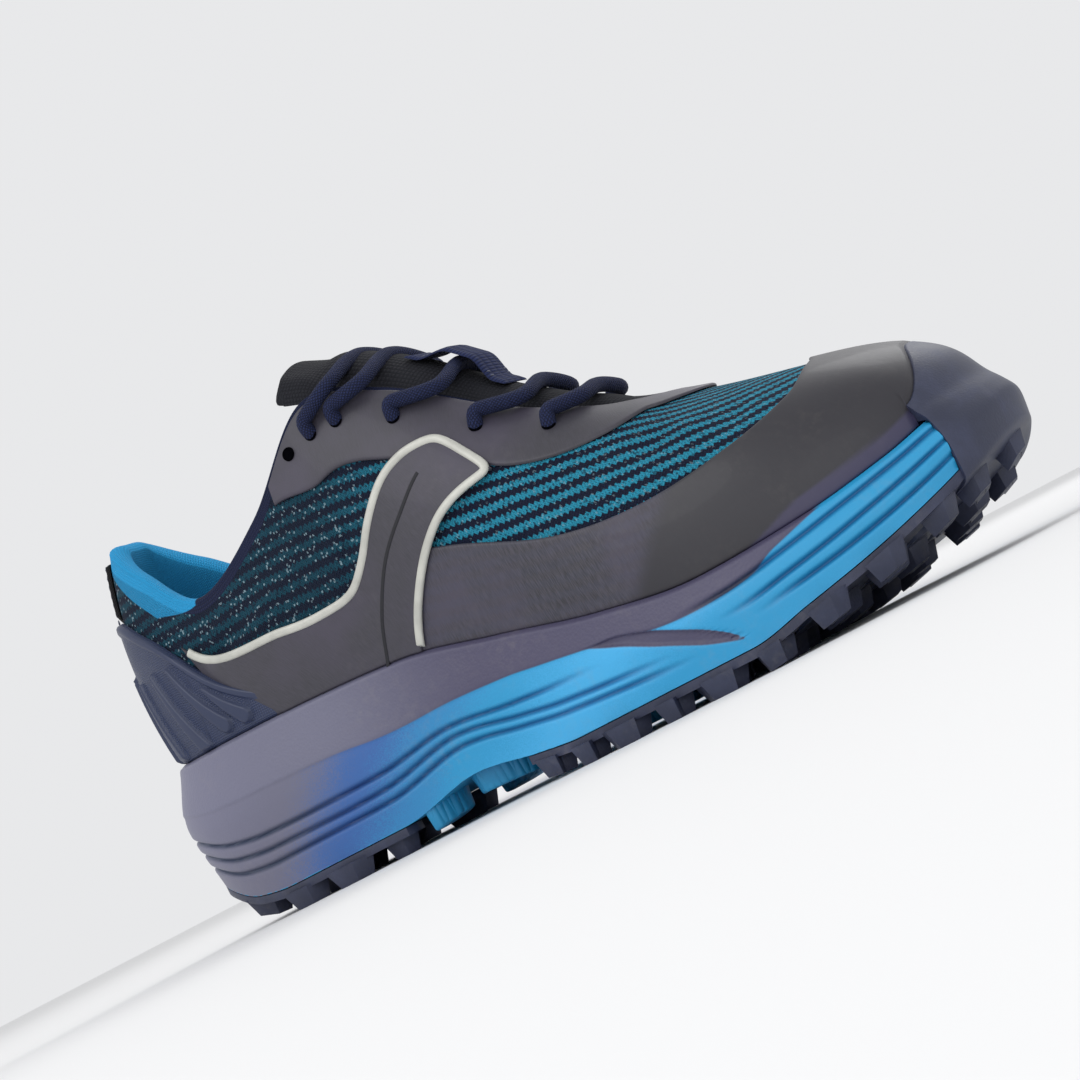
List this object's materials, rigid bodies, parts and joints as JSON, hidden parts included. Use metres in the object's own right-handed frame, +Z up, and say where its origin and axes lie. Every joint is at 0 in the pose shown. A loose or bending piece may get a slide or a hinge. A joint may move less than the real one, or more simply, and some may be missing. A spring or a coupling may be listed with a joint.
{
  "type": "trail running shoe",
  "caption": "Low-cut trail running shoe for a right foot, with a knitted upper, thick cushioned midsole, cleated rubber outsole and laced throat.",
  "frame": {"origin": "on the floor, under the middle of the sole's length and width", "axes": "+X towards the toe, +Y towards the inner side of the foot, +Z up"},
  "size_m": [0.3038, 0.1074, 0.15],
  "materials": {
    "navy_rubber": "moulded, matt with worn lug edges",
    "cyan_foam": "moulded foam with a satin skin, navy at the heel fading to cyan at the toe",
    "navy_knit": "engineered knit, navy with cyan rows",
    "charcoal_film": "welded film with a fine grain",
    "navy_moulding": "satin moulded plastic with raised ribs",
    "black_tape": "ribbed woven tape and padded textile",
    "blue_lining": "brushed lining",
    "navy_lace": "round braided cord"
  },
  "bodies": {
    "root": {"outsole_heel": "navy_rubber", "outsole_forefoot": "navy_rubber", "midsole": "cyan_foam", "upper": "navy_knit", "insole": "blue_lining", "tongue": "black_tape", "heel_counter": "navy_moulding", "pull_tape": "black_tape", "eyestay": "charcoal_film", "rand_film": "charcoal_film", "saddle_lateral": "charcoal_film", "saddle_medial": "charcoal_film", "lace_bar_1": "navy_lace", "lace_bar_2": "navy_lace", "lace_bar_3": "navy_lace", "lace_bar_4": "navy_lace", "lace_bar_5": "navy_lace"}
  },
  "joints": []
}
